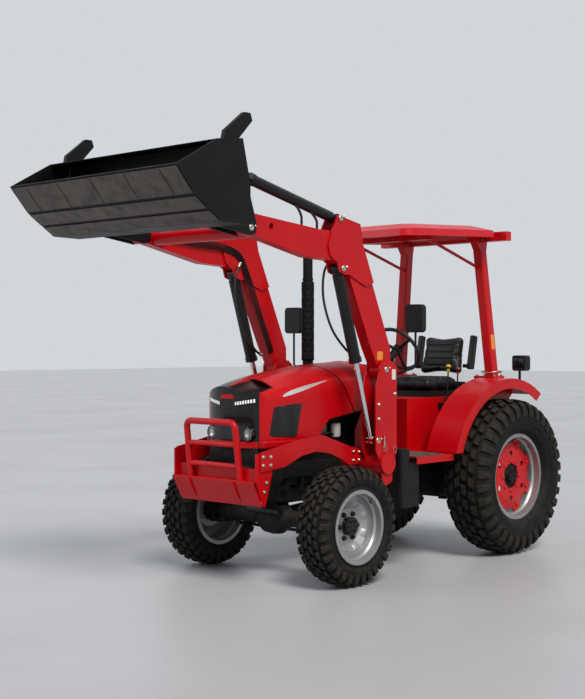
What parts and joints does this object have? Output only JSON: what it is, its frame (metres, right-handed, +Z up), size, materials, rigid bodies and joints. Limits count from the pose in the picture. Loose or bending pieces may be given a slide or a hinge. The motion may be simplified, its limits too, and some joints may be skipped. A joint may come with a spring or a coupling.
{
  "type": "compact farm tractor with front loader",
  "caption": "Compact four-wheel-drive farm tractor with a raised front loader, black bucket and red sun canopy.",
  "frame": {"origin": "centre of the bounding box at ground level", "axes": "+Z up, the nose points to -Y, +X to the tractor's left"},
  "size_m": [1.644, 4.3499, 2.975],
  "materials": {
    "red_paint": "gloss",
    "black_paint": "satin",
    "silver_paint": "satin",
    "dark_casting": "matte",
    "tyre_rubber": "matte",
    "black_plastic": "satin",
    "mat_rubber": "matte",
    "rod_chrome": "polished",
    "cover_vinyl": "satin",
    "lamp_lens": "gloss"
  },
  "bodies": {
    "chassis": {"armrests": "cover_vinyl", "brush_guard": "red_paint", "bulkhead": "black_paint", "canopy_roof": "red_paint", "control_levers": "black_plastic", "drawbar": "black_paint", "engine_block": "dark_casting", "exhaust_stack": "black_paint", "fender_left": "red_paint", "fender_right": "red_paint", "floor_mat": "mat_rubber", "front_axle": "dark_casting", "front_frame": "black_paint", "fuel_tank": "black_plastic", "loader_masts": "red_paint", "mirrors": "black_plastic", "platform": "red_paint", "rear_cowl": "red_paint", "rops_frame": "red_paint", "seat_back": "cover_vinyl", "seat_cushion": "cover_vinyl", "seat_pan": "black_paint", "side_rails": "red_paint", "steering_console": "black_plastic", "tail_lamps": "black_plastic", "transmission": "dark_casting"},
    "hood": {"hood_shell": "red_paint", "nose_panel": "black_plastic", "side_grilles": "black_plastic"},
    "knuckle_left": {"knuckle_left": "dark_casting"},
    "knuckle_right": {"knuckle_right": "dark_casting"},
    "tie_rod": {"tie_rod": "black_paint"},
    "wheel_front_left": {"tyre_front_left": "tyre_rubber", "rim_front_left": "silver_paint", "hub_front_left": "black_paint"},
    "wheel_front_right": {"tyre_front_right": "tyre_rubber", "rim_front_right": "silver_paint", "hub_front_right": "black_paint"},
    "wheel_rear_left": {"tyre_rear_left": "tyre_rubber", "rim_rear_left": "silver_paint", "disc_rear_left": "red_paint", "hub_rear_left": "silver_paint"},
    "wheel_rear_right": {"tyre_rear_right": "tyre_rubber", "rim_rear_right": "silver_paint", "disc_rear_right": "red_paint", "hub_rear_right": "silver_paint"},
    "steering_wheel": {"steering_wheel": "black_plastic"},
    "boom": {"boom": "red_paint"},
    "lift_barrels": {"lift_barrels": "black_paint"},
    "lift_rods": {"lift_rods": "rod_chrome"},
    "tilt_barrels": {"tilt_barrels": "black_paint"},
    "tilt_rods": {"tilt_rods": "rod_chrome"},
    "bucket": {"bucket": "black_paint"},
    "lift_arms": {"lift_arms": "black_paint"},
    "lower_links": {"lower_links": "black_paint"},
    "hitch_rods": {"hitch_rods": "black_paint"}
  },
  "joints": [
    {"name": "hood_hinge", "type": "hinge", "parent": "chassis", "child": "hood", "pos_m": [0, -0.237, 1.434], "axis": [-1, 0, 0], "range_deg": [0, 48]},
    {"name": "steer_left", "type": "hinge", "parent": "chassis", "child": "knuckle_left", "pos_m": [0.52, -0.536, 0.396], "axis": [0, 0, 1], "range_deg": [-35, 35]},
    {"name": "steer_right", "type": "hinge", "parent": "chassis", "child": "knuckle_right", "pos_m": [-0.52, -0.536, 0.396], "axis": [0, 0, 1], "range_deg": [-35, 35]},
    {"name": "track_rod_slide", "type": "slide", "parent": "chassis", "child": "tie_rod", "axis": [1, 0, 0], "range_m": [-0.082, 0.082]},
    {"name": "steering_wheel_spin", "type": "hinge", "parent": "chassis", "child": "steering_wheel", "pos_m": [0, 0.835, 1.56], "axis": [0, 0.8137, 0.5812], "range_deg": [-420, 420]},
    {"name": "wheel_front_left_spin", "type": "hinge", "parent": "knuckle_left", "child": "wheel_front_left", "pos_m": [0.652, -0.536, 0.396], "axis": [1, 0, 0], "continuous": true},
    {"name": "wheel_front_right_spin", "type": "hinge", "parent": "knuckle_right", "child": "wheel_front_right", "pos_m": [-0.652, -0.536, 0.396], "axis": [1, 0, 0], "continuous": true},
    {"name": "wheel_rear_left_spin", "type": "hinge", "parent": "chassis", "child": "wheel_rear_left", "pos_m": [0.637, 1.345, 0.5895], "axis": [1, 0, 0], "continuous": true},
    {"name": "wheel_rear_right_spin", "type": "hinge", "parent": "chassis", "child": "wheel_rear_right", "pos_m": [-0.637, 1.345, 0.5895], "axis": [1, 0, 0], "continuous": true},
    {"name": "boom_lift", "type": "hinge", "parent": "chassis", "child": "boom", "pos_m": [0, -0.005, 1.42], "axis": [-1, 0, 0], "range_deg": [-74, 4]},
    {"name": "lift_barrel_pivot", "type": "hinge", "parent": "boom", "child": "lift_barrels", "pos_m": [0, -0.461, 2.104], "axis": [1, 0, 0], "range_deg": [-21, 2]},
    {"name": "lift_rod_slide", "type": "slide", "parent": "lift_barrels", "child": "lift_rods", "axis": [0, 0.2976, -0.9547], "range_m": [-0.5, 0.03]},
    {"name": "bucket_tilt", "type": "hinge", "parent": "boom", "child": "bucket", "pos_m": [0, -1.335, 2.32], "axis": [1, 0, 0], "range_deg": [-20, 48]},
    {"name": "tilt_barrel_pivot", "type": "hinge", "parent": "boom", "child": "tilt_barrels", "pos_m": [0, -0.489, 2.439], "axis": [1, 0, 0], "range_deg": [-6, 12]},
    {"name": "tilt_rod_slide", "type": "slide", "parent": "tilt_barrels", "child": "tilt_rods", "axis": [0, -0.9725, 0.2329], "range_m": [-0.1, 0.22]},
    {"name": "hitch_lift", "type": "hinge", "parent": "chassis", "child": "lift_arms", "pos_m": [0, 1.56, 0.845], "axis": [1, 0, 0], "range_deg": [-30, 25]},
    {"name": "lower_link_pivot", "type": "hinge", "parent": "chassis", "child": "lower_links", "pos_m": [0, 1.465, 0.44], "axis": [1, 0, 0], "range_deg": [-23, 19]},
    {"name": "lift_rod_pivot", "type": "hinge", "parent": "lift_arms", "child": "hitch_rods", "pos_m": [0, 1.815, 0.9], "axis": [1, 0, 0], "range_deg": [-24, 29]}
  ],
  "couplings": [
    {"joint": "steer_right", "follows": "steer_left", "ratio": 1},
    {"joint": "track_rod_slide", "follows": "steer_left", "m_per_rad": -0.1315},
    {"joint": "steering_wheel_spin", "follows": "steer_left", "ratio": 12},
    {"joint": "lift_barrel_pivot", "follows": "boom_lift", "ratio": 0.2757},
    {"joint": "lift_rod_slide", "follows": "boom_lift", "m_per_rad": 0.384},
    {"joint": "tilt_barrel_pivot", "follows": "bucket_tilt", "ratio": 0.2322},
    {"joint": "tilt_rod_slide", "follows": "bucket_tilt", "m_per_rad": 0.2575},
    {"joint": "lower_link_pivot", "follows": "hitch_lift", "ratio": 0.74},
    {"joint": "lift_rod_pivot", "follows": "hitch_lift", "ratio": -0.93}
  ]
}
